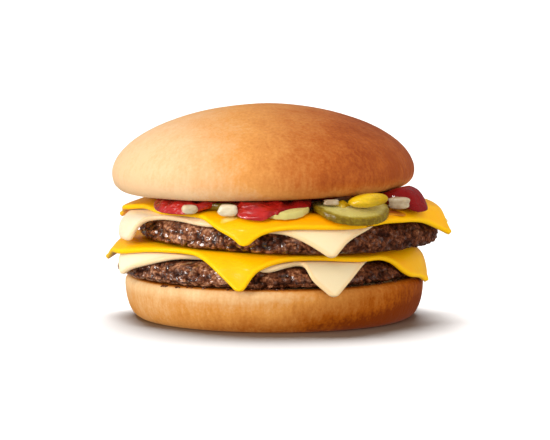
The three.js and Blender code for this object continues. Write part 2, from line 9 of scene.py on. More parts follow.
import bpy
import numpy as np
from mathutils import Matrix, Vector


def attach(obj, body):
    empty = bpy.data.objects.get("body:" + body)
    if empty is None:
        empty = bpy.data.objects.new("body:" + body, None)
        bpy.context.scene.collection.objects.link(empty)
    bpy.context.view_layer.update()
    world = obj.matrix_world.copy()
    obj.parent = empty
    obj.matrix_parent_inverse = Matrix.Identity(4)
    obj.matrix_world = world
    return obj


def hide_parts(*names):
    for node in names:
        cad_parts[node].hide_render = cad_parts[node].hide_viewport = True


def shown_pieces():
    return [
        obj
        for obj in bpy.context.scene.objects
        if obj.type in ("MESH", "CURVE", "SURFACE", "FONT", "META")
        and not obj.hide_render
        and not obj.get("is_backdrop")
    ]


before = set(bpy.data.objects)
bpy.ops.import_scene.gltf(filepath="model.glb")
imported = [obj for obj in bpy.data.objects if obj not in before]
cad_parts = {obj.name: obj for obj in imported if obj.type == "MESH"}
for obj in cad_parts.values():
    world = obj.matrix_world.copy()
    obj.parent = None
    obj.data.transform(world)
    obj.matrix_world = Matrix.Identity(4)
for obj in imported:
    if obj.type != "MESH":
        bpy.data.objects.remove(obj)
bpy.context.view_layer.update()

# --- dimensions, as in the CAD source

SHIFT = (-2.374, 0.014, 0.0)  # from the source's coordinates to the row frame
TOUCH = 0.35  # gap between layers that touch
EASE = 0.25  # how far a sheet stands off the rim that it hangs over
# Every out_of_round has (lobes round the circle, size, phase), the size as a share of the radius. Squareness
# 2 is a round arch, and more is a squarer one. Every mesh has how many points go round it, and how far apart
# its rings are where they show and where they are hidden.
CROWN = dict(
    centre=(-2.1, 0.0), radius=49.8, underside=42.7, bulge=5.4, dome=22.0, cut_radius=45.0, lean=0.9,
    taper=0.009, top_squareness=1.88, rim_squareness=2.1, out_of_round=((2, 0.004, 0.5), (3, 0.003, 2.0)),
    mesh=(600, 0.5, 3.0),
)
HEEL = dict(
    centre=(1.3, 0.0), radius=49.3, height=14.2, foot_radius=43.6, widest=11.6, cut_radius=46.8,
    side_squareness=2.1, out_of_round=((2, 0.004, 1.9), (3, 0.003, 0.4)), mesh=(640, 0.4, 4.0),
)
LOWER_PATTY = dict(
    centre=(-1.0, 0.0), radius=49.2, base=14.55, thickness=7.2, base_lean=0.0, top_lean=-0.024,
    base_sag=0.0, top_sag=0.3, out_of_round=((2, 0.007, 0.9), (3, 0.005, 2.1)), seed=5,
)
UPPER_PATTY = dict(
    centre=(6.0, 0.0), radius=49.4, base=25.9, thickness=8.8, base_lean=-0.024, top_lean=-0.006,
    base_sag=0.3, top_sag=0.3, out_of_round=((2, 0.005, 0.2), (3, 0.005, 1.0)), seed=19,
)
SHOULDER = 6.0  # radius of a patty's upper edge
UNDERCUT = 2.6  # radius of its lower edge
PATTY_MESH = (900, 0.3, 4.0)
MEAT_CRUMBS = (((4.2, 4.2, 3.0), 0.4), (2.0, 0.3), (1.0, 0.15))  # size, and share of the relief
MEAT_RELIEF = (0.25, 1.8)  # its depth on the faces and in the side

SLICE_SIDE = 83.4
SLICE_THICKNESS = 1.65
SLICE_CORNER = 2.8  # radius of a corner, seen from above
SLICE_EDGE = 0.8  # how far the rounded edge stands out
SLICE_EDGE_RINGS = (67, 45, 22, 0, -22, -45, -67)  # degrees round the edge
SLICE_MIDDLE = 16.0  # half of the part in which the mesh is coarser
SLICE_SPREAD = (2.8, 10.5)  # how far outside a slice's edge the next one settles: from, to
WAVE_ROOT = 16.0  # how far inside the edge its waves begin
STRETCH_ROOT = 26.0  # how far from a corner its stretches begin
STEEPEST = 92.0  # no sheet hangs further round than this many degrees
# turn is the direction of the first corner, in degrees, and the others follow anticlockwise. Each corner is
# (limit, stand, curl): the degrees it bends, the millimetres it then goes straight on, and the degrees it
# bends for each further one. Each wave is (side, place along it, width, how far out), and each stretch is
# (side, which end of it, how far out).
LOWER_WHITE = dict(
    turn=-68, shift=(2.2, 0.6), corners=((66, 0, 0), (60, 0, 1), (80, 0, 0), (84, 0, 0)),
    waves=(
        (0, -8, 14, -2), (1, 0, 20, 2), (2, 5, 16, 2), (3, -27, 14, 4.4), (3, -16, 8, 1), (3, 16, 8, 5.6),
        (3, 25.5, 4.5, -5.5),
    ),
    stretches=(),
)
LOWER_YELLOW = dict(
    turn=-101.5, shift=(1.5, 0.5), corners=((65, 0, 0), (57, 0, 0), (70, 0, 0), (37, 0, 0)),
    waves=(
        (0, 2, 17, 6.8), (0, 28, 9, 4.8), (1, 0, 18, 3), (1, -30, 8, 5), (2, 4, 18, 2), (3, -2, 16, 7.6),
        (3, -19, 13, 7), (3, -31, 7, 2.5),
    ),
    stretches=((0, -1, -0.6), (0, 1, -1), (1, -1, -1), (3, -1, 0.3), (3, 1, -0.8)),
)
UPPER_WHITE = dict(
    turn=-77.5, shift=(-1.6, -0.9), corners=((55, 0, 0), (36, 0, 0.5), (68, 0, 0), (12, 5.5, 8.5)),
    waves=(
        (0, 2, 20, 1.5), (0, -19, 10, 3.2), (1, 0, 20, 1), (2, -3, 18, 2.5), (3, -37, 6, 7), (3, -31, 6, 6),
        (3, 0, 15, 5.5), (3, 19, 8, 2),
    ),
    stretches=((0, -1, 3), (2, 1, 0.6), (3, -1, 1), (3, 1, -2.4)),
)
UPPER_YELLOW = dict(
    turn=-104, shift=(-0.6, 1.2), corners=((65, 0, 0), (42, 0, 0), (60, 0, 0), (12, 4, 2)),
    waves=(
        (0, -3, 27, 11.3), (1, 4, 20, 2), (2, 0, 18, 3), (3, 1, 19, 7.3), (3, -26, 10, 6), (3, 30, 8, 2.8),
    ),
    stretches=((0, -1, -1.3),),
)

STACK = 2 * (SLICE_THICKNESS + TOUCH)
PICKLE_THICKNESS = 2.1
PICKLE_EDGE = 0.5  # radius of its edges
PICKLE_LOBES = ((3, 0.025), (17, 0.006))  # how many there are, and their size as a share of its radius
PICKLE_MESH = (160, 0.4, 0.7)
PICKLE_GAP = 0.4  # between a pickle slice and the cheese
PICKLE_LIMIT = 24.0  # how far a pickle slice bends, in degrees
TOPPED = STACK + PICKLE_GAP + PICKLE_THICKNESS
# Place, radius and how much of the skin is peeled.
PICKLES = {
    "pickle_left": ((-20.0, -29.8), 9.5, 0.0),
    "pickle_centre": ((-1.6, -41.8), 8.4, 1.0),
    "pickle_right": ((19.7, -37.8), 12.5, 0.0),
    "pickle_back": ((-10.0, 35.0), 12.0, 0.3),
}
# Place, lift, size, turn and how stained it is; on the pieces in shade at the front right this is partly
# painted shade.
ONIONS = {
    "onion_front_left": ((-32.0, -39.4), 6.5, (5, 3.2, 2.8), 14, 0.0),
    "onion_front": ((-19.4, -45.6), 6.6, (6.2, 4.2, 3.7), -12, 0.0),
    "onion_on_pickle": ((13.6, -43.2), 7.8, (4.8, 3, 2), 8, 0.75),
    "onion_right": ((35.8, -32.0), 7.0, (6.8, 4, 3.7), -28, 0.5),
    "onion_back_left": ((-33, 34), 5.9, (5.2, 3.8, 2.6), 40, 0.0),
    "onion_back": ((12, 43), 6.2, (5.8, 4, 3), -20, 0.2),
    "onion_left": ((-45, 6), 5.5, (4.6, 3.4, 2.4), 75, 0.1),
}
ONION_SQUARENESS = 3.6
ONION_UNEVENNESS = 0.1
LAYER_STEP = 0.04  # how far the layers of a piece step in and out, as a share of its size
KETCHUP = dict(
    pool_radius=32.0, pool_depth=1.5, thinnest=0.6,
    gap=0.65,  # between the ketchup and the cheese below it
    settles=(26, 36),  # how far from the middle the lobes come down on to the cheese: from, to
    swells=(39.5, 44.5),  # how far from the middle they rise: from, to
    ends_from=0.84,  # share of its reach from which a lobe gets thinner
    end_thickness=2.8,
)
# Angle, width, reach, limit and rise.
KETCHUP_LOBES = (
    (-140, 21, 52, 50, 0), (-103, 12, 51.8, 40, 0), (-86, 7.5, 46.5, 28, 0), (-31.5, 11, 52, 28, 1.7),
    (42, 12, 47, 28, 0.5), (118, 14, 48.5, 28, 0), (176, 10, 44, 12, 0),
)
# The ketchup's section, in shares of its reach and depth, and about how many millimetres those are.
KETCHUP_LINE = (
    (0, 1), (0.45, 1), (0.7, 1), (0.86, 1), (0.93, 0.95), (0.965, 0.85), (0.985, 0.72), (0.997, 0.56),
    (1, 0.4), (0.995, 0.24), (0.98, 0.1), (0.955, 0.03), (0.93, 0), (0.8, 0), (0.55, 0), (0, 0),
)
KETCHUP_SCALE = (50, 6)
MUSTARD = dict(
    at=(25.8, -41.8), lift=9.25, size=(13.2, 8.4, 4.6), turn=10, roll=-6,
    out_of_round=((1, 0.1, 2.6), (3, 0.05, 0.0)),
)
LOOSE_CRUMBS = 260
LOOSE_CRUMB_SIZE = (0.22, 0.6)

# --- numbers


def ease(low, high, x):
    """0 up to low, 1 from high on, and smooth between them."""
    t = np.clip((np.asarray(x, float) - low) / (high - low), 0, 1)
    return t * t * (3 - 2 * t)


def mix(a, b, t):
    return a + (b - a) * t


def hump(x, at, width):
    return np.exp(-(((x - at) / width) ** 2))


def polar(reach, angle):
    return reach * np.cos(angle), reach * np.sin(angle)


def turned(x, y, degrees):
    c, s = math.cos(math.radians(degrees)), math.sin(math.radians(degrees))
    return x * c - y * s, x * s + y * c


def turn_between(a, b):
    return np.arctan2(np.sin(a - b), np.cos(a - b))


def roundness(part, angle):
    """A part's radius in a direction, as a share of its own."""
    return 1 + sum(size * np.cos(lobes * angle + phase) for lobes, size, phase in part["out_of_round"])


def hashed(cell, seed):
    """A repeatable random number from 0 to 1 for each lattice point. Its factors are large odd ones."""
    c = cell.astype(np.int64).astype(np.uint64)
    h = sum(c[..., k] * np.uint64(factor) for k, factor in enumerate((0x9E3779B1, 0x85EBCA77, 0xC2B2AE3D)))
    h = (h + np.uint64(seed) * np.uint64(0x27D4EB2F)) & np.uint64(0xFFFFFFFF)
    for shift, factor in ((15, 0x2C1B3C6D), (12, 0x297A2D39)):
        h = ((h ^ (h >> np.uint64(shift))) * np.uint64(factor)) & np.uint64(0xFFFFFFFF)
    h ^= h >> np.uint64(15)
    return h.astype(float) / 2**32


def noise(p, size, seed):
    """Smooth noise from -1 to 1 with features of that size, or those three sizes."""
    q = p / np.asarray(size, float)
    base = np.floor(q)
    u = ease(0, 1, q - base)
    total = 0
    for corner in np.ndindex(2, 2, 2):
        weight = np.prod(np.where(np.array(corner) == 1, u, 1 - u), axis=-1)
        total = total + weight * hashed(base + np.array(corner), seed)
    return 2 * total - 1


def fractal(p, size, seed):
    """Noise of that size with noise on it that is half as coarse and half as strong."""
    return (noise(p, size, seed) + noise(p, np.asarray(size) / 2, seed + 1) / 2) / 1.5


def in_row_frame(places):
    """Places in the source's coordinates, in metres in the row frame."""
    return (np.asarray(places, float) + SHIFT) / 1000


# --- meshes


def arch(foot, top, t, squareness=2):
    """Places on a quarter of an arch, from its upright foot where t is 0 to its level top where t is 1."""
    out, up = (k ** (2 / squareness) for k in polar(1, t * math.pi / 2))
    return np.stack([mix(top[0], foot[0], out), mix(foot[1], top[1], up)], 1)


def ball(rings):
    """The profile of a ball of radius 1, from its top to its bottom."""
    latitude = np.linspace(math.pi / 2, -math.pi / 2, rings)
    profile = np.stack([np.cos(latitude), np.sin(latitude)], 1)
    profile[[0, -1], 0] = 0
    return profile


def resample(line, step):
    """The same line with points about step apart."""
    line = np.asarray(line, float)
    length = np.concatenate([[0], np.cumsum(np.linalg.norm(np.diff(line, axis=0), axis=1))])
    count = max(2, int(round(length[-1] / step)) + 1)
    at = np.linspace(0, length[-1], count)
    return np.stack([np.interp(at, length, line[:, k]) for k in range(2)], 1)


def placed(centre, x, y, z):
    """Points round that centre, with z as their height."""
    return np.stack([centre[0] + x, centre[1] + y, z], -1)


def vertex_normals(points, faces):
    """Outward normals of a mesh of quads, two corners of which may be the same."""
    a, b, c, d = (points[faces[:, k]] for k in range(4))
    across = np.cross(c - a, d - b)
    normals = np.zeros_like(points)
    for k in range(4):
        np.add.at(normals, faces[:, k], across)
    return normals / np.maximum(np.linalg.norm(normals, axis=1, keepdims=True), 1e-12)


def raised(points, faces, height):
    """The points, each moved outwards by its height."""
    return points + vertex_normals(points, faces) * height[:, None]


def ring_faces(counts):
    """Faces between rings of points, from the top pole to the bottom one."""
    first = np.concatenate([[0], np.cumsum(counts)])[:-1]
    j = np.arange(max(counts))
    faces = []
    for i in range(len(counts) - 1):
        upper, lower = (first[k] + j % counts[k] for k in (i, i + 1))
        upper_next, lower_next = (first[k] + (j + 1) % counts[k] for k in (i, i + 1))
        faces.append(np.stack([upper, lower, lower_next, upper_next], 1))
    return np.concatenate(faces)


def ring_solid(profile, segments, place):
    """A closed solid of rings and poles, and for each of its points the radius in the profile."""
    counts = [1 if radius == 0 else segments for radius, _ in profile]
    radii, heights = (np.repeat(column, counts) for column in np.array(profile, float).T)
    angles = np.concatenate([np.arange(count) / segments * 2 * math.pi for count in counts])
    return place(radii, heights, angles), ring_faces(counts), radii


def turned_solid(line, mesh, place):
    """A closed solid from the line that shows, which then goes straight in to the axis from its ends."""
    segments, shown_step, hidden_step = mesh
    line = resample(line, shown_step)
    for _ in range(2):
        if line[-1][0] > 0:
            line = np.concatenate([line, resample([line[-1], (0.0, line[-1][1])], hidden_step)[1:]])
        line = line[::-1]
    return ring_solid(line, segments, place)


def added(name, data):
    """A new object in the scene."""
    made = bpy.data.objects.new(name, data)
    bpy.context.scene.collection.objects.link(made)
    return made


def piece(name, points, faces, material, replaces, attributes):
    """Makes a piece of the burger from points in millimetres in the source's coordinates."""
    polygons = [list(dict.fromkeys(face)) for face in faces.tolist()]
    mesh = bpy.data.meshes.new(name)
    mesh.from_pydata(in_row_frame(points).tolist(), [], polygons)
    for key, values in attributes.items():
        layer = mesh.attributes.new(key, "FLOAT", "POINT")
        layer.data.foreach_set("value", np.asarray(values, np.float32))
    mesh.materials.append(material)
    mesh.shade_smooth()
    made = added(name, mesh)
    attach(made, "root")
    if replaces:
        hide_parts(*replaces)


# --- materials


class Shader:
    """A material made of nodes round one Principled BSDF."""

    def __init__(self, name, **values):
        self.material = bpy.data.materials.new(name)
        self.material.use_nodes = True
        self.tree = self.material.node_tree
        self.bsdf = self.tree.nodes["Principled BSDF"]
        for key, value in values.items():
            self.set(key.replace("_", " "), value)
        self.place = self.node("TexCoord", "Object")

    def node(self, kind, output, inputs=(), **settings):
        """Adds a node with these settings and inputs, and returns one of its outputs."""
        made = self.tree.nodes.new("ShaderNode" + kind)
        for key, value in settings.items():
            setattr(made, key, value)
        for key, value in dict(inputs).items():
            self.put(made.inputs[key], value)
        return made.outputs[output]

    def put(self, socket, value):
        if isinstance(value, bpy.types.NodeSocket):
            self.tree.links.new(value, socket)
        else:
            socket.default_value = value

    def set(self, key, value):
        names = {k.lower(): k for k in self.bsdf.inputs.keys()}
        self.put(self.bsdf.inputs[names[key.lower()]], value)

    def soften(self, weight, radius, depth):
        """Lets light into the surface, to that depth in millimetres."""
        self.set("subsurface weight", weight)
        self.set("subsurface radius", radius)
        self.set("subsurface scale", depth / 1000)

    def coat(self, weight, roughness):
        self.set("coat weight", weight)
        self.set("coat roughness", roughness)

    def stretched(self, x, y, z, turn=(0, 0, 0)):
        return self.node("Mapping", "Vector", {"Vector": self.place, "Rotation": turn, "Scale": (x, y, z)})

    def noise(self, size, detail, rough=0.55, distortion=0.0, vector=None):
        """Noise from 0 to 1 with features of that size in millimetres."""
        look = {"Scale": 1000 / size, "Detail": detail, "Roughness": rough, "Distortion": distortion}
        return self.node("TexNoise", "Fac", {"Vector": vector or self.place, **look})

    def cells(self, size):
        """The distance from the middle of each cell of that size in millimetres."""
        return self.node("TexVoronoi", "Distance", {"Vector": self.place, "Scale": 1000 / size}, feature="F1")

    def attribute(self, name):
        return self.node("Attribute", "Fac", attribute_name=name)

    def math(self, operation, a, b, clamp=False):
        return self.node("Math", 0, {0: a, 1: b}, operation=operation, use_clamp=clamp)

    def span(self, value, low, high, to_low=0.0, to_high=1.0):
        """The value, with low to high stretched to to_low to to_high, and no further."""
        ends = {"From Min": low, "From Max": high, "To Min": to_low, "To Max": to_high}
        return self.node("MapRange", 0, {"Value": value, **ends}, clamp=True)

    def between(self, low, high, noise):
        """Stretches noise, most of which is between 0.3 and 0.7."""
        return self.span(noise, 0.3, 0.7, low, high)

    def ramp(self, value, *stops):
        """The colour at a value from 0 to 1, between stops of a value and a colour."""
        colour = self.node("ValToRGB", "Color", {"Fac": value})
        elements = colour.node.color_ramp.elements
        while len(elements) < len(stops):
            elements.new(0.5)
        for element, (at, stop) in zip(elements, stops):
            element.position = at
            element.color = (*stop, 1)
        return colour

    def blend(self, share, a, b):
        a, b = ((*x, 1) if isinstance(x, tuple) and len(x) == 3 else x for x in (a, b))
        return self.node("Mix", 2, {"Factor": share, 6: a, 7: b}, data_type="RGBA")

    def bump(self, height, distance, strength, normal=None):
        """Relief of that depth in millimetres, on what the normal already has."""
        inputs = {"Height": height, "Distance": distance / 1000, "Strength": strength}
        if normal is not None:
            inputs["Normal"] = normal
        return self.node("Bump", "Normal", inputs)


def linear(r, g, b):
    """An sRGB colour, 0 to 255, as the shader wants it."""
    return tuple((x / 255 / 12.92) if x <= 10 else ((x / 255 + 0.055) / 1.055) ** 2.4 for x in (r, g, b))


def crust_material(name, pale, golden, brown, deep, shine):
    """A baked crust. Its attribute for the bake and painted shade is 0 where the crust is palest and 1 where
    it is darkest.
    """
    s = Shader(name, specular_ior_level=shine)
    streaks = s.noise(1.3, 3, vector=s.stretched(1, 1, 0.2))
    patches = s.noise(9, 3)
    grain = s.noise(0.8, 2)
    bake = s.math("ADD", s.attribute("bake"), s.between(-0.07, 0.07, patches))
    bake = s.math("ADD", bake, s.between(-0.06, 0.06, streaks))
    bake = s.math("ADD", bake, s.between(-0.05, 0.05, grain), clamp=True)
    colour = s.ramp(bake, (0.0, pale), (0.45, golden), (0.85, brown), (1.0, deep))
    colour = s.blend(s.attribute("cut"), colour, CRUMB)
    s.set("base color", colour)
    s.set("roughness", s.between(0.4, 0.54, patches))
    fine = s.bump(s.noise(0.55, 2), 0.035, 0.8)
    wrinkles = s.bump(streaks, 0.16, 0.8, fine)
    s.set("normal", s.bump(s.cells(0.8), 0.12, 0.35, wrinkles))
    s.soften(0.06, (1.0, 0.45, 0.2), 1.2)
    return s.material


def patty_material():
    """Its relief attribute is 0 in its hollows and 1 on its crumbs, and its colour is darkest in the hollows,
    partly the meat's own and partly painted shade; wet is 1 where fat shines on it.
    """
    s = Shader("grilled_beef", specular_tint=(1.0, 0.8, 0.68, 1))
    relief = s.attribute("relief")
    crumbs = s.noise(1.0, 4, 0.62)
    grain = s.noise(0.4, 2)
    relief = s.math("MULTIPLY", relief, 0.7)
    height = s.math("ADD", relief, s.between(-0.26, 0.36, crumbs), clamp=True)
    colour = s.ramp(
        height,
        (0.0, (0.009, 0.0016, 0.0006)),
        (0.4, (0.060, 0.013, 0.004)),
        (0.7, (0.180, 0.052, 0.018)),
        (1.0, (0.56, 0.26, 0.13)),
    )
    patches = s.noise(6, 2)
    colour = s.blend(s.span(patches, 0.55, 0.75, 0.0, 0.5), colour, (0.16, 0.058, 0.028))
    colour = s.blend(s.span(patches, 0.42, 0.28, 0.0, 0.6), colour, (0.035, 0.009, 0.004))
    s.set("base color", colour)
    wet = s.math("ADD", s.noise(1.7, 3), s.span(s.attribute("wet"), 0.0, 1.0, -0.07, 0.01))
    s.set("specular ior level", s.span(wet, 0.47, 0.6, 0.12, 1.0))
    s.set("roughness", s.span(wet, 0.47, 0.6, 0.6, 0.15))
    s.coat(s.span(wet, 0.48, 0.58, 0.0, 1.0), 0.1)
    s.set("coat ior", 1.8)
    rough = s.bump(crumbs, 0.5, 0.9)
    s.set("normal", s.bump(grain, 0.05, 0.9, rough))
    return s.material


def cheese_material(name, body, thin, deep, radius, shine):
    """It takes its thin colour where its edge attribute is 1, partly the cheese's translucence and partly
    painted light and shade on the rounded edge, and its deep colour in clouds and, as painted shade, where
    its deep attribute is 1.
    """
    s = Shader(name, specular_ior_level=shine)
    cloud = s.noise(14, 3)
    fleck = s.noise(1.6, 3)
    clouded = s.math("ADD", s.span(cloud, 0.35, 0.7, 0.0, 0.6), s.attribute("deep"), clamp=True)
    colour = s.blend(clouded, body, deep)
    colour = s.blend(s.math("MULTIPLY", s.attribute("edge"), 0.6), colour, thin)
    s.set("base color", colour)
    s.set("roughness", s.between(0.3, 0.44, fleck))
    s.soften(0.25, radius, 1.6)
    s.coat(0.12, 0.12)
    soft = s.bump(s.noise(5, 2), 0.22, 0.6)
    s.set("normal", s.bump(s.noise(0.8, 2), 0.02, 0.6, soft))
    return s.material


def pickle_material():
    """Its share attribute is 0 in the middle and 1 at the skin, and pale is 1 where the skin is peeled."""
    s = Shader("pickled_cucumber", specular_ior_level=0.25)
    share = s.attribute("share")
    mottle = s.noise(1.8, 3)
    at = s.math("ADD", share, s.between(-0.03, 0.03, mottle))
    at = s.math("SUBTRACT", at, s.math("MULTIPLY", s.attribute("pale"), 0.35))
    colour = s.ramp(
        at,
        (0.0, linear(200, 184, 104)),
        (0.5, linear(206, 192, 116)),
        (0.85, linear(194, 180, 98)),
        (0.94, linear(146, 122, 34)),
        (1.0, linear(112, 86, 5)),
    )
    seeds = s.math("MULTIPLY", s.span(s.cells(2.4), 0.16, 0.3, 1.0, 0.0), s.span(share, 0.62, 0.5))
    colour = s.blend(s.math("MULTIPLY", seeds, 0.4), colour, linear(224, 206, 138))
    skin = s.math("MULTIPLY", s.span(at, 0.93, 0.98), s.span(s.noise(1.1, 2), 0.5, 0.7))
    colour = s.blend(s.math("MULTIPLY", skin, 0.35), colour, linear(168, 150, 40))
    s.set("base color", colour)
    s.set("roughness", s.between(0.16, 0.34, mottle))
    s.soften(0.15, (1.0, 0.9, 0.3), 1.2)
    s.coat(0.1, 0.2)
    s.set("normal", s.bump(s.noise(1.1, 3), 0.12, 0.7))
    return s.material


def onion_material():
    """Its attribute for stains and painted shade is 1 where the sauces have coloured it, and on some pieces
    where it is darkened as painted shade.
    """
    s = Shader("chopped_onion", roughness=0.26, specular_ior_level=0.3)
    layers = s.noise(1.2, 2, vector=s.stretched(0.35, 1, 1.6))
    colour = s.ramp(s.noise(2.6, 2), (0.3, linear(212, 194, 158)), (0.7, linear(226, 214, 184)))
    colour = s.blend(s.span(layers, 0.45, 0.75, 0.0, 0.4), colour, linear(196, 168, 118))
    stain = s.math("MULTIPLY", s.attribute("stain"), s.span(s.noise(2.0, 2), 0.3, 0.6, 0.65, 1.0))
    s.set("base color", s.blend(stain, colour, linear(140, 108, 74)))
    s.soften(0.35, (1.0, 0.95, 0.8), 1.2)
    s.coat(0.25, 0.12)
    s.set("normal", s.bump(layers, 0.45, 0.8))
    return s.material


def sauce_material(name, dark, body, light, coat, ripple):
    """Its deep attribute is 1 where the sauce lies thick and where painted shade darkens it, and ripple is
    the depth of its streaks.
    """
    s = Shader(name)
    thick = s.attribute("deep")
    swirl = s.noise(5, 3, distortion=0.8)
    colour = s.ramp(swirl, (0.25, dark), (0.5, body), (0.8, light))
    s.set("base color", s.blend(thick, colour, dark))
    s.set("specular ior level", s.span(thick, 0.0, 0.6, 0.4, 0.05))
    s.set("roughness", s.between(0.15, 0.3, s.noise(2.5, 2)))
    s.soften(0.1, (1.0, 0.3, 0.1), 1.0)
    s.coat(s.span(thick, 0.3, 0.9, coat, 0.45 * coat), 0.09)
    streaks = s.noise(2.2, 1, distortion=0.6, vector=s.stretched(0.4, 1, 1.2, (0, math.radians(-32), 0)))
    s.set("normal", s.bump(streaks, ripple, 0.9))
    return s.material


CRUMB = (0.58, 0.36, 0.16)
CROWN_CRUST = crust_material(
    "crown_crust", (0.80, 0.51, 0.27), (0.69, 0.29, 0.068), (0.44, 0.104, 0.013), (0.32, 0.058, 0.006), 0.12
)
HEEL_CRUST = crust_material(
    "heel_crust", (0.78, 0.51, 0.25), (0.60, 0.24, 0.048), (0.34, 0.076, 0.003), (0.18, 0.028, 0.001), 0.03
)
BEEF = patty_material()
YELLOW_CHEESE = cheese_material(
    "yellow_cheese", (0.98, 0.475, 0.001), (0.99, 0.58, 0.003), (0.94, 0.345, 0.0), (1.0, 0.5, 0.05), 0.05
)
WHITE_CHEESE = cheese_material(
    "white_cheese", (0.89, 0.75, 0.53), (0.82, 0.54, 0.25), (0.84, 0.68, 0.41), (1.0, 0.75, 0.45), 0.1
)
PICKLE = pickle_material()
ONION = onion_material()
# A pale film that paints the glow of light the front onion throws on the cheese.
JUICE = sauce_material("onion_glow", (0.97, 0.66, 0.18), (0.97, 0.48, 0.005), (0.97, 0.50, 0.01), 0.4, 0.2)
FILM = sauce_material("thin_ketchup_and_shade", (0.3, 0.055, 0.005), (0.7, 0.26, 0.004), (0.8, 0.32, 0.003), 0.4, 0.2)
KETCHUP_SAUCE = sauce_material(
    "tomato_ketchup", (0.20, 0.004, 0.004), (0.45, 0.008, 0.006), (0.60, 0.018, 0.010), 1.0, 1.3
)
MUSTARD_SAUCE = sauce_material(
    "yellow_mustard", (0.40, 0.22, 0.001), (0.74, 0.46, 0.001), (0.86, 0.56, 0.002), 0.8, 0.25
)

# --- bun


def crown():
    c = CROWN
    widest = (c["radius"], c["bulge"])
    upper = arch(widest, (0, c["bulge"] + c["dome"]), np.linspace(1, 0, 240), c["top_squareness"])
    upper[0, 0] = 0  # exactly on the axis
    lower = arch(widest, (c["cut_radius"], 0), np.linspace(0, 1, 80)[1:], c["rim_squareness"])

    def place(r, z, angle):
        x, y = polar(r * roundness(c, angle), angle)
        z = z + c["taper"] * x * np.maximum(0, 1 - z / c["bulge"])
        x, z = turned(x, z, c["lean"])
        return placed(c["centre"], x, y, c["underside"] + z)

    points, faces, _ = turned_solid(np.concatenate([upper, lower]), c["mesh"], place)
    normals = vertex_normals(points, faces)
    level = points[:, 2] - c["underside"]
    radial = np.hypot(points[:, 0] - c["centre"][0], points[:, 1])
    cut = ease(-0.86, -0.97, normals[:, 2]) * ease(c["cut_radius"] + 1.2, c["cut_radius"] - 0.2, radial)
    side = ease(0.92, 0.55, np.abs(normals[:, 2]))
    # Soft swellings, wrinkles that run down the side, and grain.
    relief = 0.16 * fractal(points, 13, seed=3)
    relief += side * 0.1 * fractal(points, (1.7, 1.7, 8), seed=7)
    relief += side * 0.06 * noise(points, (3.4, 3.4, 12), seed=9)
    relief += 0.02 * noise(points, 1.1, seed=12)
    points = points + normals * (relief * (1 - cut))[:, None]
    # Pale at the left and darker towards the right, partly the bake and partly painted shade, and darker at
    # the top.
    across = (points[:, 0] - c["centre"][0]) / c["radius"]
    bake = 0.96 * ease(-0.8, 0.75, across)
    bake += 0.13 * ease(14, 25, level) * ease(0.3, -0.4, across)
    # Darker in a band round the middle: painted shade.
    bake += 0.08 * hump(across, -0.08, 0.32) * ease(2.0, 7.0, level) * ease(24.0, 12.0, level)
    # Paler again at the rim, most at the right, partly the dough and partly painted light from below.
    bake -= (0.08 + 0.34 * ease(0.2, 0.75, across)) * ease(6.0, 1.0, level)
    piece("bun_crown_visual", points, faces, CROWN_CRUST, ["bun_crown"], {"bake": bake, "cut": cut})


def heel():
    h = HEEL
    widest = (h["radius"], h["widest"])
    upper = arch(widest, (h["cut_radius"], h["height"]), np.linspace(1, 0, 60))
    lower = arch(widest, (h["foot_radius"], 0), np.linspace(0, 1, 160)[1:], h["side_squareness"])
    rim = (h["cut_radius"] - 2.8, h["height"])  # what shows of the cut face starts here

    def place(r, z, angle):
        return placed(h["centre"], *polar(r * roundness(h, angle), angle), z)

    points, faces, _ = turned_solid(np.concatenate([[rim], upper, lower]), h["mesh"], place)
    normals = vertex_normals(points, faces)
    radial = np.hypot(points[:, 0] - h["centre"][0], points[:, 1])
    cut = ease(0.86, 0.97, normals[:, 2]) * ease(h["cut_radius"] - 0.6, h["cut_radius"] - 1.6, radial)
    side = ease(0.95, 0.6, np.abs(normals[:, 2]))
    relief = 0.12 * fractal(points, 12, seed=23)
    relief += side * 0.09 * fractal(points, (1.6, 1.6, 6), seed=27)
    relief += side * 0.03 * noise(points, 0.9, seed=31)
    points = points + normals * (relief * side)[:, None]
    # Darker towards the right and at the foot, partly the bake and partly painted shade, darker along the
    # edge of the cut, and pale in the band below that.
    level = points[:, 2] + 0.6 * fractal(points, (7, 7, 3), seed=41)
    across = (points[:, 0] - h["centre"][0]) / h["radius"]
    right = np.clip((across + 0.1) / 1.05, 0, 1)
    bake = 0.4 + 0.57 * right - 0.1 * ease(-0.2, -0.9, across)
    bake = bake * (1 - mix(0.66, 0.0, right**0.6) * ease(8.5, 12.0, level))
    bake += mix(0.18, 0.34, ease(-0.9, -0.2, across)) * ease(9.0, 0.5, level)
    # The dark edge of the cut is partly painted shade under the patty.
    bake += (0.85 - bake) * ease(13.5, 14.1, points[:, 2])
    piece("bun_heel_visual", points, faces, HEEL_CRUST, ["bun_heel"], {"bake": bake, "cut": cut})


# --- patties


def radius_at(patty_, angle):
    return patty_["radius"] * roundness(patty_, angle)


def undulation(patty_, x, y, level):
    """How much higher a patty is at a place than in its middle. Level is 0 at its base and 1 at its top."""
    lean = mix(patty_["base_lean"], patty_["top_lean"], level)
    sag = mix(patty_["base_sag"], patty_["top_sag"], level)
    return lean * x + sag * (y / patty_["radius"]) * ease(0.4, 1, np.hypot(x, y) / patty_["radius"])


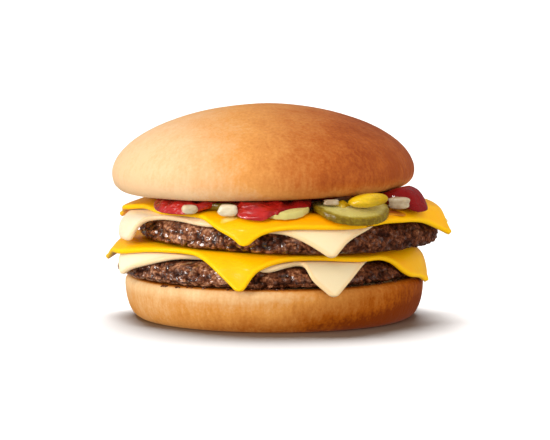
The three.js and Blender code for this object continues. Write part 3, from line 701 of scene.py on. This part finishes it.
def patty(name, p):
    radius, thickness, seed = p["radius"], p["thickness"], p["seed"]
    upper = arch((radius, thickness - SHOULDER), (radius - SHOULDER, thickness), np.linspace(1, 0, 60))
    lower = arch((radius, UNDERCUT), (radius - UNDERCUT, 0), np.linspace(0.4, 1, 30))

    def place(r, z, angle):
        x, y = polar(r / radius * radius_at(p, angle), angle)
        return placed(p["centre"], x, y, p["base"] + z + undulation(p, x, y, z / thickness))

    points, faces, _ = turned_solid(np.concatenate([upper, lower]), PATTY_MESH, place)
    normals = vertex_normals(points, faces)
    warped = points + 1.1 * np.stack([fractal(points, 3.0, seed + k) for k in (1, 2, 3)], 1)
    height = 0.15 * (0.5 + 0.5 * noise(points, 8, seed + 9))
    for k, (size, share) in enumerate(MEAT_CRUMBS):
        height += share * np.clip(np.abs(noise(warped, size, seed + 5 * k)) / 0.5, 0, 1) ** 0.7
    side = ease(0.93, 0.97, np.hypot(points[:, 0] - p["centre"][0], points[:, 1]) / radius)
    depth = mix(*MEAT_RELIEF, side) * (1 - height) - 0.12 * side
    points = points - normals * depth[:, None]
    # Darker towards the right, which is painted shade, and wetter at the left.
    relief = ease(0.1, 0.85, height) * (1.1 - 0.38 * ease(-15, 40, points[:, 0]))
    wet = ease(20, -25, points[:, 0])
    piece(name + "_visual", points, faces, BEEF, [name], {"relief": relief, "wet": wet})


# --- slices of cheese


def wave_at(slice_, side, along):
    """How far out a side of a slice has run, at a place along it."""
    half = SLICE_SIDE / 2
    waves = sum(out * hump(along, at, width) for on, at, width, out in slice_["waves"] if on == side)
    ends = [(end, out) for on, end, out in slice_["stretches"] if on == side]
    stretches = sum(out * ease(half - STRETCH_ROOT, half, end * along) for end, out in ends)
    return waves * (1 - (np.abs(along) / half) ** 4) + stretches


def slice_on(patty_, slice_, below=()):
    """A slice that lies on a patty and other slices, with how it hangs in the direction of each corner."""
    made = dict(slice_, patty=patty_, below=below, turn=slice_["turn"] + 45, hang=[])
    half = SLICE_SIDE / 2
    for (a, b), hang in zip(((half, -half), (half, half), (-half, half), (-half, -half)), made["corners"]):
        x, y = from_patty(made, a, b)
        made["hang"].append((math.atan2(y, x), *hang))
    return made


def from_patty(s, a, b):
    """A place on the flat slice, seen from the middle of its patty."""
    x, y = turned(a, b, s["turn"])
    return s["shift"][0] + x, s["shift"][1] + y


def outside(s, x, y):
    """How far a place is outside the flat slice: negative inside it."""
    a, b = turned(x - s["shift"][0], y - s["shift"][1], -s["turn"])
    past = (a - wave_at(s, 0, b), b - wave_at(s, 1, -a), -a - wave_at(s, 2, -b), -b - wave_at(s, 3, a))
    return np.maximum.reduce(past) - SLICE_SIDE / 2


def stack_height(slices, x, y):
    """How much the slices raise what lies on them at a place."""
    layer = SLICE_THICKNESS + TOUCH
    return sum((layer * (1 - ease(*SLICE_SPREAD, outside(s, x, y))) for s in slices), 0 * x)


def drape(p, x, y, lift, limit, stand=0.0, curl=0.0, corner=None):
    """Lays a place on a flat sheet over a patty and down its side, as the CAD source does."""
    angle = np.arctan2(y, x)
    flat_reach = np.hypot(x, y)
    start = radius_at(p, angle) + EASE - SHOULDER
    past = np.maximum(0, flat_reach - start)
    bend = SHOULDER + lift
    slope = np.minimum(past / bend, np.radians(limit))
    beyond = past - bend * slope
    straight = np.where(np.asarray(curl) == 0, beyond, np.minimum(beyond, stand))
    curve = 1 / np.maximum(np.radians(curl), 1e-6)
    end = np.minimum(slope + (beyond - straight) / curve, math.radians(STEEPEST))
    rest = beyond - straight - (end - slope) * curve
    reach = np.minimum(flat_reach, start) + bend * np.sin(slope) + straight * np.cos(slope)
    reach = reach + curve * (np.sin(end) - np.sin(slope)) + rest * np.cos(end)
    drop = bend * (1 - np.cos(slope)) + straight * np.sin(slope)
    drop = drop + curve * (np.cos(slope) - np.cos(end)) + rest * np.sin(end)
    off = 0 if corner is None else turn_between(angle, corner)
    wrap = (flat_reach / np.maximum(reach, 1) - 1) * np.sin(off) * ease(0, 1, past)
    px, py = polar(reach, angle + wrap)
    return placed(p["centre"], px, py, p["base"] + p["thickness"] + undulation(p, px, py, 1) + lift - drop)


def hang_at(s, angle):
    """How a slice hangs in each direction: as its corners do, and between two of them something of both."""
    hang = np.array(s["hang"], float)
    off = np.abs(turn_between(np.asarray(angle)[..., None], hang[:, 0]))
    order = np.argsort(off, axis=-1, kind="stable")
    first, second = order[..., 0], order[..., 1]
    nearest = np.take_along_axis(off, order, -1)
    share = ease(0.3, 0.7, nearest[..., 0] / (nearest[..., 0] + nearest[..., 1]))
    limit, stand, curl = (mix(hang[first, k], hang[second, k], share) for k in (1, 2, 3))
    return dict(corner=hang[first, 0], limit=limit, stand=stand, curl=curl)


def slice_middle(s, flat_a, flat_b):
    """Where the middle of the sheet is for a place on the flat square, after its corners are rounded."""
    flat = SLICE_SIDE / 2 - SLICE_CORNER

    def rounded(own, other):
        u, v = (np.maximum(0, np.abs(k) - flat) / SLICE_CORNER for k in (own, other))
        return np.where(u == 0, own, np.sign(own) * (flat + SLICE_CORNER * u * np.sqrt(1 - v**2 / 2)))

    def run(own, side, along):
        return ease(SLICE_SIDE / 2 - WAVE_ROOT, SLICE_SIDE / 2, own) * wave_at(s, side, along)

    a, b = rounded(flat_a, flat_b), rounded(flat_b, flat_a)
    x, y = from_patty(s, a + run(a, 0, b) - run(-a, 2, -b), b + run(b, 1, -a) - run(-b, 3, a))
    lift = TOUCH + stack_height(s["below"], x, y) + SLICE_THICKNESS / 2
    return drape(s["patty"], x, y, lift, **hang_at(s, np.arctan2(y, x)))


def sheet_faces(n, loop, strips):
    """Faces of two grids of n by n points and of the strips of points that join the loops round them."""
    i, j = (k.ravel() for k in np.meshgrid(np.arange(n - 1), np.arange(n - 1), indexing="ij"))
    quads = np.stack([i * n + j, (i + 1) * n + j, (i + 1) * n + j + 1, i * n + j + 1], 1)
    faces = [quads, (quads + n * n)[:, ::-1]]
    top_loop = loop[:, 0] * n + loop[:, 1]
    between = [2 * n * n + k * len(loop) + np.arange(len(loop)) for k in range(strips)]
    chain = [top_loop, *between, top_loop + n * n]
    for upper, lower in zip(chain, chain[1:]):
        faces.append(np.stack([upper, lower, np.roll(lower, -1), np.roll(upper, -1)], 1))
    return np.concatenate(faces)


def slice_piece(name, s, material, seed):
    """Two faces with the same square grid of points, and a rounded edge between them."""
    half = SLICE_SIDE / 2
    flat = half - SLICE_EDGE
    spans = ((0, SLICE_MIDDLE, 8), (SLICE_MIDDLE, half - SLICE_CORNER, 34), (half - SLICE_CORNER, flat, 7))
    lines = np.concatenate([[0], *[np.linspace(*span)[1:] for span in spans]])
    lines = np.concatenate([-lines[:0:-1], lines])
    n = len(lines)
    grid_a, grid_b = np.meshgrid(lines, lines, indexing="ij")

    def normal_at(a, b):
        step = 0.05
        along_a = slice_middle(s, a + step, b) - slice_middle(s, a - step, b)
        along_b = slice_middle(s, a, b + step) - slice_middle(s, a, b - step)
        across = np.cross(along_a, along_b)
        return across / np.linalg.norm(across, axis=-1, keepdims=True)

    middle = slice_middle(s, grid_a, grid_b).reshape(-1, 3)
    normal = normal_at(grid_a, grid_b).reshape(-1, 3)
    top = middle + normal * SLICE_THICKNESS / 2
    bottom = middle - normal * SLICE_THICKNESS / 2
    loop = np.array(
        [(i, 0) for i in range(n - 1)]
        + [(n - 1, j) for j in range(n - 1)]
        + [(i, n - 1) for i in range(n - 1, 0, -1)]
        + [(0, j) for j in range(n - 1, 0, -1)]
    )
    rim_a, rim_b = lines[loop[:, 0]], lines[loop[:, 1]]
    rim_normal = normal_at(rim_a, rim_b)

    def grown(along, factor):
        """Moves the ends of the lines outwards and leaves the rest."""
        return along * np.where(np.abs(along) >= flat - 1e-9, factor, 1)

    strips = []
    for angle in np.radians(SLICE_EDGE_RINGS):
        factor = (flat + SLICE_EDGE * math.cos(angle)) / flat
        centre = slice_middle(s, grown(rim_a, factor), grown(rim_b, factor))
        strips.append(centre + rim_normal * SLICE_THICKNESS / 2 * math.sin(angle))
    points = np.concatenate([top, bottom, *strips])
    # Soft waves left by melting, which move both faces alike.
    sag = 0.14 * fractal(points, 9, seed) * ease(20, 34, np.hypot(points[:, 0], points[:, 1]))
    direction = np.concatenate([normal, normal, *[rim_normal] * len(strips)])
    points = points + direction * sag[:, None]
    inside = half - np.maximum(np.abs(grid_a), np.abs(grid_b)).ravel()
    edge = np.concatenate([ease(1.6, 0.6, inside)] * 2 + [np.ones(len(loop))] * len(strips))
    # Deeper in colour at the right, but not at the corner there, as painted shade.
    deep = ease(-6, 12, points[:, 0]) * ease(48, 30, points[:, 0])
    shares = {"edge": edge, "deep": deep}
    piece(name + "_visual", points, sheet_faces(n, loop, len(strips)), material, [name], shares)


# --- toppings


def on_cheese(x, y, lift, limit=PICKLE_LIMIT):
    return drape(UPPER_PATTY, x, y, lift, limit)


def pickle(name, at, radius, pale):
    half, edge = PICKLE_THICKNESS / 2, PICKLE_EDGE
    segments, shown_step, hidden_step = PICKLE_MESH
    turn = np.linspace(math.pi / 2, -math.pi / 2, 13)
    rim_out, rim_up = polar(edge, turn)
    rim = np.stack([radius - edge + rim_out, (half - edge) * np.sign(np.sin(turn)) + rim_up], 1)
    upper = resample([(0.0, half), (radius - edge, half)], shown_step)[:-1]
    lower = resample([(radius - edge, -half), (0.0, -half)], hidden_step)[1:]
    profile = np.concatenate([upper, rim, lower]) / (radius, 1)
    lobes = dict(out_of_round=((*PICKLE_LOBES[0], radius), (*PICKLE_LOBES[1], 0)))

    def place(share, level, angle):
        x, y = polar(share * radius * roundness(lobes, angle), angle)
        return on_cheese(at[0] + x, at[1] + y, STACK + PICKLE_GAP + half + level)

    points, faces, share = ring_solid(profile, segments, place)
    # An uneven face and skin, and hollows between the seeds.
    relief = 0.05 * noise(points, 2.2, seed=51) + 0.1 * ease(0.9, 1.0, share) * noise(points, 1.5, seed=53)
    relief -= 0.16 * ease(0.68, 0.5, share) * ease(0.1, 0.7, noise(points, 2.0, seed=57))
    shares = {"share": share, "pale": np.full(len(points), pale)}
    piece(name + "_visual", raised(points, faces, relief), faces, PICKLE, [name], shares)


def onion(name, at, lift, size, turn, stain, seed):
    """A chopped piece with soft uneven corners and the steps of its layers."""

    def place(r, z, angle):
        unit = np.stack([*polar(r, angle), z], 1)
        square = np.sum(np.abs(unit) ** ONION_SQUARENESS, 1) ** (1 / ONION_SQUARENESS)
        p = unit / square[:, None] / 2
        p = p * (1 + ONION_UNEVENNESS * noise(unit + seed, 0.9, seed)[:, None])
        steps = LAYER_STEP * np.sin(9 * (p[:, 2] + 0.35 * p[:, 0] ** 2) + seed)
        p[:, :2] *= (1 + steps)[:, None]
        p = p * np.array(size, float)
        p = np.stack([*turned(p[:, 0], p[:, 1], turn), p[:, 2]], 1)
        return p + on_cheese(*np.array(at, float), lift)

    points, faces, _ = ring_solid(ball(33), 56, place)
    piece(name + "_visual", points, faces, ONION, [name], {"stain": np.full(len(points), stain)})


def mustard():
    m = MUSTARD
    centre = on_cheese(*np.array(m["at"]), m["lift"])

    def place(r, z, angle):
        p = np.stack([*polar(r * roundness(m, angle), angle), z], 1) * np.array(m["size"]) / 2
        along = p[:, 0] / m["size"][0] * 2
        crease = hump(p[:, 2] + 0.25 * along, 0.55, 0.22) * ease(-0.35, 0.1, along)
        p[:, 1] *= 1 - 0.05 * crease
        x, z = turned(p[:, 0], p[:, 2], -m["roll"])
        return np.stack([*turned(x, p[:, 1], m["turn"]), z], 1) + centre

    points, faces, _ = ring_solid(ball(65), 120, place)
    points = raised(points, faces, 0.1 * fractal(points, 3.2, seed=61))
    # Darker towards its right end, as painted shade.
    deep = 0.9 * ease(0.5, 6.5, points[:, 0] - centre[0])
    piece("mustard_visual", points, faces, MUSTARD_SAUCE, ["mustard"], {"deep": deep})


def ketchup(slice_):
    """A pool under the crown, with lobes that run out over the slice."""
    k = KETCHUP
    angles, widths, reaches, limits, rises = np.array(KETCHUP_LOBES, float).T
    crown_slope = math.tan(math.radians(CROWN["lean"])) + CROWN["taper"]
    profile = resample(np.array(KETCHUP_LINE) * KETCHUP_SCALE, 0.8) / KETCHUP_SCALE

    def place(share, level, angle):
        off = turn_between(angle[:, None], np.radians(angles)) / np.radians(widths)
        part = np.exp(-(off**4))
        together = np.maximum(1, part.sum(1))
        reach = share * (k["pool_radius"] + np.sum(part * (reaches - k["pool_radius"]), 1) / together)
        x, y = polar(reach, angle)
        limit = np.minimum(np.sum(part * limits, 1) / together, hang_at(slice_, angle)["limit"])
        floor = on_cheese(x, y, STACK + k["gap"], limit)
        across = UPPER_PATTY["centre"][0] + x - CROWN["centre"][0]
        cut_face = CROWN["underside"] + crown_slope * across - TOUCH
        swell = np.sum(part * rises, 1) / together * ease(*k["swells"], reach)
        bottom = mix(cut_face - k["pool_depth"], floor[:, 2], part.max(1) * ease(*k["settles"], reach))
        top = np.maximum(cut_face + swell, bottom + k["thinnest"])
        ends = np.maximum(0, share - k["ends_from"]) / (1 - k["ends_from"])
        top = mix(top, np.minimum(top, bottom + k["end_thickness"]), ends**2)
        return np.stack([floor[:, 0], floor[:, 1], mix(bottom, top, level)], 1)

    points, faces, share = ring_solid(profile, 360, place)
    # Slanted folds in the side of the lobes, but not in the one at the right.
    outer = ease(0.8, 0.9, share) * ease(1.01, 0.96, share)
    warped = points + 1.6 * np.stack([noise(points, 4.5, seed) for seed in (70, 71, 72)], 1)
    x, y, z = warped.T
    folds = 1 - np.abs(noise(np.stack([x * 0.6 + z, z * 0.6 - x, y], 1), (11.0, 3.2, 6.0), seed=75))
    relief = outer * 1.5 * (folds**2 - 0.55) * ease(33, 26, points[:, 0])
    points = raised(points, faces, np.minimum(relief, 0.4))
    # Darkest in the lobe at the right, and dark behind the large pickle slice under the crown, as painted
    # shade.
    deep = 0.9 * ease(28, 36, points[:, 0])
    deep += 0.8 * ease(-4, 6, points[:, 0]) * ease(30, 20, points[:, 0])
    piece("ketchup_visual", points, faces, KETCHUP_SAUCE, ["ketchup"], {"deep": deep})


def smear(name, slice_, at, base, size, turn, depth, material, seed):
    """A thin uneven film of sauce that lies base above the patty."""
    rise = np.linspace(0, math.pi / 2, 12)
    profile = [*zip(np.sin(rise), np.cos(rise)), (0.97, -0.5), (0.7, -0.5), (0.4, -0.5), (0.0, -0.5)]

    def place(share, level, angle):
        edge = np.stack([np.cos(angle), np.sin(angle), 0 * angle], 1)
        u, v = polar(share * (1 + 0.35 * fractal(edge, 0.8, seed)), angle)
        x, y = turned(u * size[0] / 2, v * size[1] / 2, turn)
        x, y = at[0] + x, at[1] + y
        lift = base + depth * np.where(level > 0, level, 0.3 * level)
        return drape(UPPER_PATTY, x, y, lift, **hang_at(slice_, np.arctan2(y, x)))

    points, faces, share = ring_solid(profile, 48, place)
    points = raised(points, faces, 0.25 * depth * noise(points, 1.3, seed))
    piece(name, points, faces, material, (), {"deep": ease(1.0, 0.35, share)})


def crumb(at, size, seed):
    """Points and faces of one loose bit of beef."""

    def place(r, level, turn):
        unit = np.stack([*polar(r, turn), level], 1)
        lump = 1 + 0.35 * noise(unit + seed, 0.8, seed)[:, None]
        return unit * lump * size * np.array([1.0, 0.8, 0.6]) + at

    return ring_solid(ball(7), 10, place)[:2]


def crumbs():
    """Bits of beef on the rim of the heel, round the foot of the lower patty."""
    h, p = HEEL, LOWER_PATTY
    chance = np.random.default_rng(7)
    all_points, all_faces = [], []
    for number in range(LOOSE_CRUMBS):
        angle = chance.uniform(0, 2 * math.pi)
        size = chance.uniform(*LOOSE_CRUMB_SIZE)
        reach = radius_at(p, angle) - UNDERCUT + 0.2 + chance.exponential(0.4)
        x, y = p["centre"][0] + reach * math.cos(angle), reach * math.sin(angle)
        out = (math.hypot(x - h["centre"][0], y) - h["cut_radius"]) / (h["radius"] - h["cut_radius"])
        if out > 0.8:
            continue
        z = mix(h["widest"], h["height"], math.sqrt(1 - max(0, out) ** 2)) + 0.3 * size
        points, faces = crumb(np.array([x, y, z]), size, number)
        all_faces.append(faces + sum(len(k) for k in all_points))
        all_points.append(points)
    points = np.concatenate(all_points)
    relief = 0.55 + 0.3 * hashed(np.floor(points * 2), 3)
    piece("beef_crumbs", points, np.concatenate(all_faces), BEEF, (), {"relief": relief})


# --- the burger

lower_white = slice_on(LOWER_PATTY, LOWER_WHITE)
lower_yellow = slice_on(LOWER_PATTY, LOWER_YELLOW, (lower_white,))
upper_white = slice_on(UPPER_PATTY, UPPER_WHITE)
upper_yellow = slice_on(UPPER_PATTY, UPPER_YELLOW, (upper_white,))

crown()
heel()
patty("patty_lower", LOWER_PATTY)
patty("patty_upper", UPPER_PATTY)
slice_piece("cheese_lower_white", lower_white, WHITE_CHEESE, 81)
slice_piece("cheese_lower_yellow", lower_yellow, YELLOW_CHEESE, 83)
slice_piece("cheese_upper_white", upper_white, WHITE_CHEESE, 85)
slice_piece("cheese_upper_yellow", upper_yellow, YELLOW_CHEESE, 87)
for name, values in PICKLES.items():
    pickle(name, *values)
for seed, (name, values) in enumerate(ONIONS.items()):
    onion(name, *values, seed + 1)
mustard()
ketchup(upper_yellow)
crumbs()
# A thin film of ketchup under the right onion, whose dark middle also paints the shade there.
smear("ketchup_smear_and_shade", upper_yellow, (33.4, -33.4), STACK, (10.5, 4.0), 35, 0.4, FILM, 91)
# A film of mustard under the crown's edge, whose dark middle also paints the shade there.
smear("mustard_smear_and_shade", upper_yellow, (17.2, -41.0), TOPPED, (5.2, 3.4), 20, 1.5, MUSTARD_SAUCE, 93)
# A pale film under the front onion: painted light from the onion.
smear("onion_glow", upper_yellow, (-19.2, -45.6), STACK, (6.4, 3.2), 0, 0.15, JUICE, 95)

# --- studio

STUDIO = 6.0  # half the floor's width, and the wall's radius and half its height, in metres
WALL_SIDES = 64
SKY = 0.25  # strength of the light from all round

scene = bpy.context.scene
scene.view_settings.view_transform = "Standard"

world = bpy.data.worlds.new("studio")
scene.world = world
world.use_nodes = True
background = world.node_tree.nodes["Background"].inputs
background["Color"].default_value = (1, 1, 1, 1)
background["Strength"].default_value = SKY

floor_mesh = bpy.data.meshes.new("floor")
floor_corners = [(-STUDIO, -STUDIO, 0), (STUDIO, -STUDIO, 0), (STUDIO, STUDIO, 0), (-STUDIO, STUDIO, 0)]
floor_mesh.from_pydata(floor_corners, [], [(0, 1, 2, 3)])
pale = Shader("pale_floor", roughness=0.9, specular_ior_level=0.0)
pale.set("base color", (0.3, 0.3, 0.3, 1))
floor_mesh.materials.append(pale.material)
floor = added("floor", floor_mesh)
floor.visible_diffuse = False
floor.visible_glossy = False
floor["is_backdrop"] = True

# A white wall all round, which only the camera sees.
wall_mesh = bpy.data.meshes.new("wall")
turns = [2 * math.pi * k / WALL_SIDES for k in range(WALL_SIDES)]
wall_mesh.from_pydata(
    [(STUDIO * math.cos(a), STUDIO * math.sin(a), z) for z in (-STUDIO, STUDIO) for a in turns],
    [],
    [(k, (k + 1) % WALL_SIDES, WALL_SIDES + (k + 1) % WALL_SIDES, WALL_SIDES + k) for k in range(WALL_SIDES)],
)
white = Shader("white_wall", roughness=1.0, specular_ior_level=0.0)
white.set("base color", (0, 0, 0, 1))
white.set("emission color", (1, 1, 1, 1))
white.set("emission strength", 1.0)
wall_mesh.materials.append(white.material)
wall = added("wall", wall_mesh)
for ray in ("diffuse", "glossy", "transmission", "volume_scatter", "shadow"):
    setattr(wall, "visible_" + ray, False)
wall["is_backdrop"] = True


def sun(name, azimuth, elevation, strength, spread, only, mirrored=True, tint=(1.0, 1.0, 1.0)):
    """Light that comes from azimuth, 0 being the camera's side and 90 the right, and elevation."""
    light = bpy.data.lights.new(name, "SUN")
    light.energy = strength * math.pi
    light.angle = math.radians(spread)
    light.color = tint
    lamp = added(name, light)
    a, e = math.radians(azimuth), math.radians(elevation)
    towards = Vector((math.sin(a) * math.cos(e), -math.cos(a) * math.cos(e), math.sin(e)))
    lamp.rotation_mode = "QUATERNION"
    lamp.rotation_quaternion = towards.to_track_quat("Z", "Y")
    lamp.visible_glossy = mirrored
    lamp.light_linking.receiver_collection = only
    lamp.light_linking.blocker_collection = burger


burger = bpy.data.collections.new("burger")
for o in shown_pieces():
    burger.objects.link(o)
ground = bpy.data.collections.new("ground")
ground.objects.link(floor)
sun("above", -170, 62, 4.8, 46, only=ground)
sun("warm", 0, 90, 0.4, 180, only=ground, mirrored=False, tint=(1.0, 0.45, 0.15))
sun("dome", 0, 90, 0.7, 180, only=burger, mirrored=False)
sun("table", 0, -90, 0.22, 180, only=burger, mirrored=False)
sun("key", -60, 14, 0.64, 30, only=burger)
sun("glint", -42, 40, 0.13, 6.5, only=burger)
sun("bounce", 20, -12, 0.1, 60, only=burger, mirrored=False)
sun("side", 78, 4, 0.25, 60, only=burger, mirrored=False)

CAMERA_TARGET = (1.655, 0.0, 31.58)  # in the source's coordinates
CAMERA_TILT = math.radians(6.3)
CAMERA_DISTANCE = 1.4

camera_data = bpy.data.cameras.new("camera")
camera_data.sensor_width = 36
camera_data.lens = 276.85
camera_data.clip_start = 0.05
camera_data.clip_end = 50
camera = added("camera", camera_data)
back = Vector((0, -math.cos(CAMERA_TILT), math.sin(CAMERA_TILT)))
camera.location = Vector(in_row_frame(CAMERA_TARGET)) + back * CAMERA_DISTANCE
camera.rotation_mode = "QUATERNION"
camera.rotation_quaternion = (-back).to_track_quat("-Z", "Y")
scene.camera = camera
